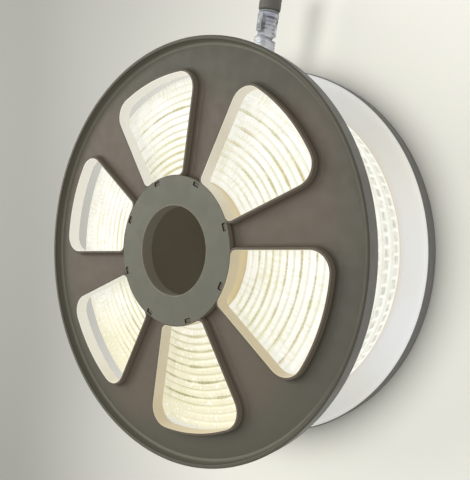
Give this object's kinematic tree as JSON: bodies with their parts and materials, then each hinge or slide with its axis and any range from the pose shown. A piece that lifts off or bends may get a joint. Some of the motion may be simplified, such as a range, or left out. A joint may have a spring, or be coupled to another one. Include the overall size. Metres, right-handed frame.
{
  "type": "led strip light reel",
  "caption": "Plastic reel with windowed flanges holding a roll of jacketed LED strip, its free end fitted with a clear connector and round plug.",
  "frame": {"origin": "on the floor, under the middle of the outline's box; the reel's axis stands 25.94 mm towards -Y from it", "axes": "+Z along the reel's axis from the rear flange to the front one, +Y the way the free end and its plug point"},
  "size_m": [0.3, 0.3518, 0.1066],
  "materials": {
    "reel_shell": "satin moulded plastic, warm grey",
    "barrel_shell": "satin moulded plastic, grey",
    "strip_jacket": "clear soft jacket over a white board with lit LEDs",
    "clear_fitting": "clear moulded plastic",
    "contact_brass": "plain brass",
    "seal_rubber": "grey rubber",
    "plug_shell": "satin moulded plastic, dark grey"
  },
  "bodies": {
    "root": {"front_flange": "reel_shell", "rear_flange": "reel_shell", "hub_barrel": "barrel_shell", "strip_roll": "strip_jacket", "strip_end_sleeve": "clear_fitting", "connector_body": "clear_fitting", "contact_pin_front": "contact_brass", "contact_pin_rear": "contact_brass", "seal_ring": "seal_rubber", "coupling_plug": "plug_shell"}
  },
  "joints": []
}
